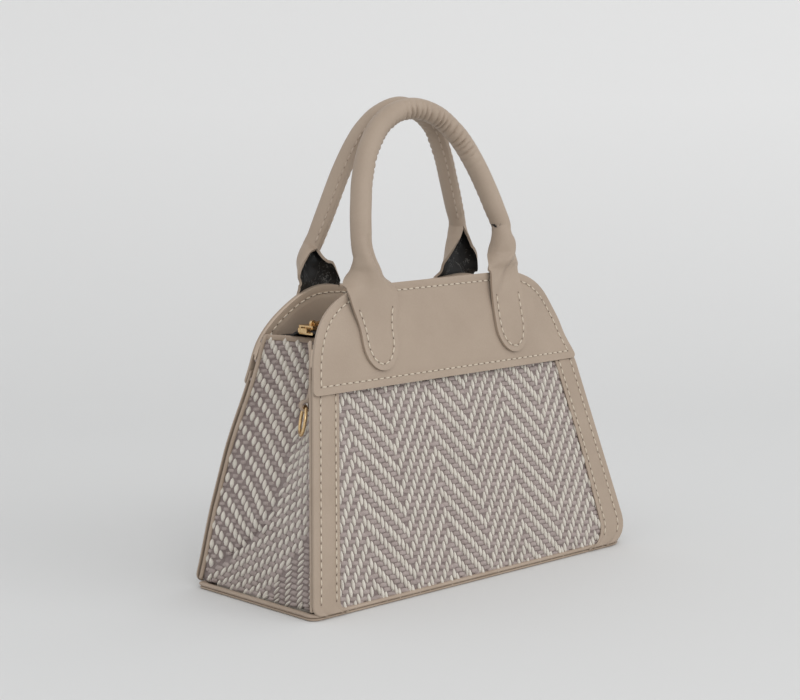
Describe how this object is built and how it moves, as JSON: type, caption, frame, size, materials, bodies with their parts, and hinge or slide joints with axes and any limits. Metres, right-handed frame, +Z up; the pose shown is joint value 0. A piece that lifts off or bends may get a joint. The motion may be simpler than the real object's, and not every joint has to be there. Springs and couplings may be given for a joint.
{
  "type": "top-handle handbag",
  "caption": "Small structured handbag with woven panels, leather yokes and strips, rolled top handles, a sunk zip, inward folded sides and a strap ring on each side.",
  "frame": {"origin": "on the floor, under the middle of the base", "axes": "+Z up, +X to the right as seen from the front, front towards -Y"},
  "size_m": [0.25, 0.102, 0.2707],
  "materials": {
    "taupe_leather": "smooth grained leather, low sheen",
    "woven_fabric": "coarse herringbone weave of taupe yarn with cream floats",
    "black_cloth": "plain black woven cloth",
    "stiff_board": "stiffening board, hidden inside",
    "handle_cord": "soft cord filling, hidden in the handles",
    "gold_metal": "polished pale gold plating"
  },
  "bodies": {
    "bag": {"back_fabric_panel": "woven_fabric", "back_facing": "taupe_leather", "back_left_handle_tab": "taupe_leather", "back_left_piping": "taupe_leather", "back_left_strip": "taupe_leather", "back_right_handle_tab": "taupe_leather", "back_right_piping": "taupe_leather", "back_right_strip": "taupe_leather", "back_stiffener": "stiff_board", "back_yoke": "taupe_leather", "back_zip_tape": "black_cloth", "back_zip_teeth": "gold_metal", "base_binding": "taupe_leather", "base_board": "stiff_board", "base_panel": "taupe_leather", "front_fabric_panel": "woven_fabric", "front_facing": "taupe_leather", "front_left_handle_tab": "taupe_leather", "front_left_piping": "taupe_leather", "front_left_strip": "taupe_leather", "front_right_handle_tab": "taupe_leather", "front_right_piping": "taupe_leather", "front_right_strip": "taupe_leather", "front_stiffener": "stiff_board", "front_yoke": "taupe_leather", "front_zip_tape": "black_cloth", "front_zip_teeth": "gold_metal", "left_gusset": "woven_fabric", "left_gusset_top_binding": "taupe_leather", "left_ring_tab": "taupe_leather", "left_zip_stop": "gold_metal", "lining": "black_cloth", "right_gusset": "woven_fabric", "right_gusset_top_binding": "taupe_leather", "right_ring_tab": "taupe_leather", "right_zip_stop": "gold_metal"},
    "front_handle": {"front_handle_cover": "taupe_leather", "front_handle_core": "handle_cord"},
    "back_handle": {"back_handle_cover": "taupe_leather", "back_handle_core": "handle_cord"},
    "slider": {"zip_slider": "gold_metal"},
    "pull": {"zip_pull": "gold_metal"},
    "left_strap_ring": {"left_ring": "gold_metal"},
    "right_strap_ring": {"right_ring": "gold_metal"}
  },
  "joints": [
    {"name": "front_handle_fall", "type": "hinge", "parent": "bag", "child": "front_handle", "pos_m": [0, -0.01783, 0.1704], "axis": [1, 0, 0], "range_deg": [0, 110]},
    {"name": "back_handle_fall", "type": "hinge", "parent": "bag", "child": "back_handle", "pos_m": [0, 0.02295, 0.17029], "axis": [-1, 0, 0], "range_deg": [0, 110]},
    {"name": "zip_slide", "type": "slide", "parent": "bag", "child": "slider", "axis": [1, 0, 0], "range_m": [0, 0.153]},
    {"name": "pull_swing", "type": "hinge", "parent": "slider", "child": "pull", "pos_m": [-0.077, 0.00217, 0.1483], "axis": [0, -1, 0], "range_deg": [0, 160]},
    {"name": "left_ring_swing", "type": "hinge", "parent": "bag", "child": "left_strap_ring", "pos_m": [-0.09644, -0.01356, 0.10675], "axis": [0.5112, 0.8556, -0.0816], "range_deg": [0, 100]},
    {"name": "right_ring_swing", "type": "hinge", "parent": "bag", "child": "right_strap_ring", "pos_m": [0.09644, -0.01356, 0.10675], "axis": [0.5112, -0.8556, 0.0816], "range_deg": [0, 100]}
  ]
}
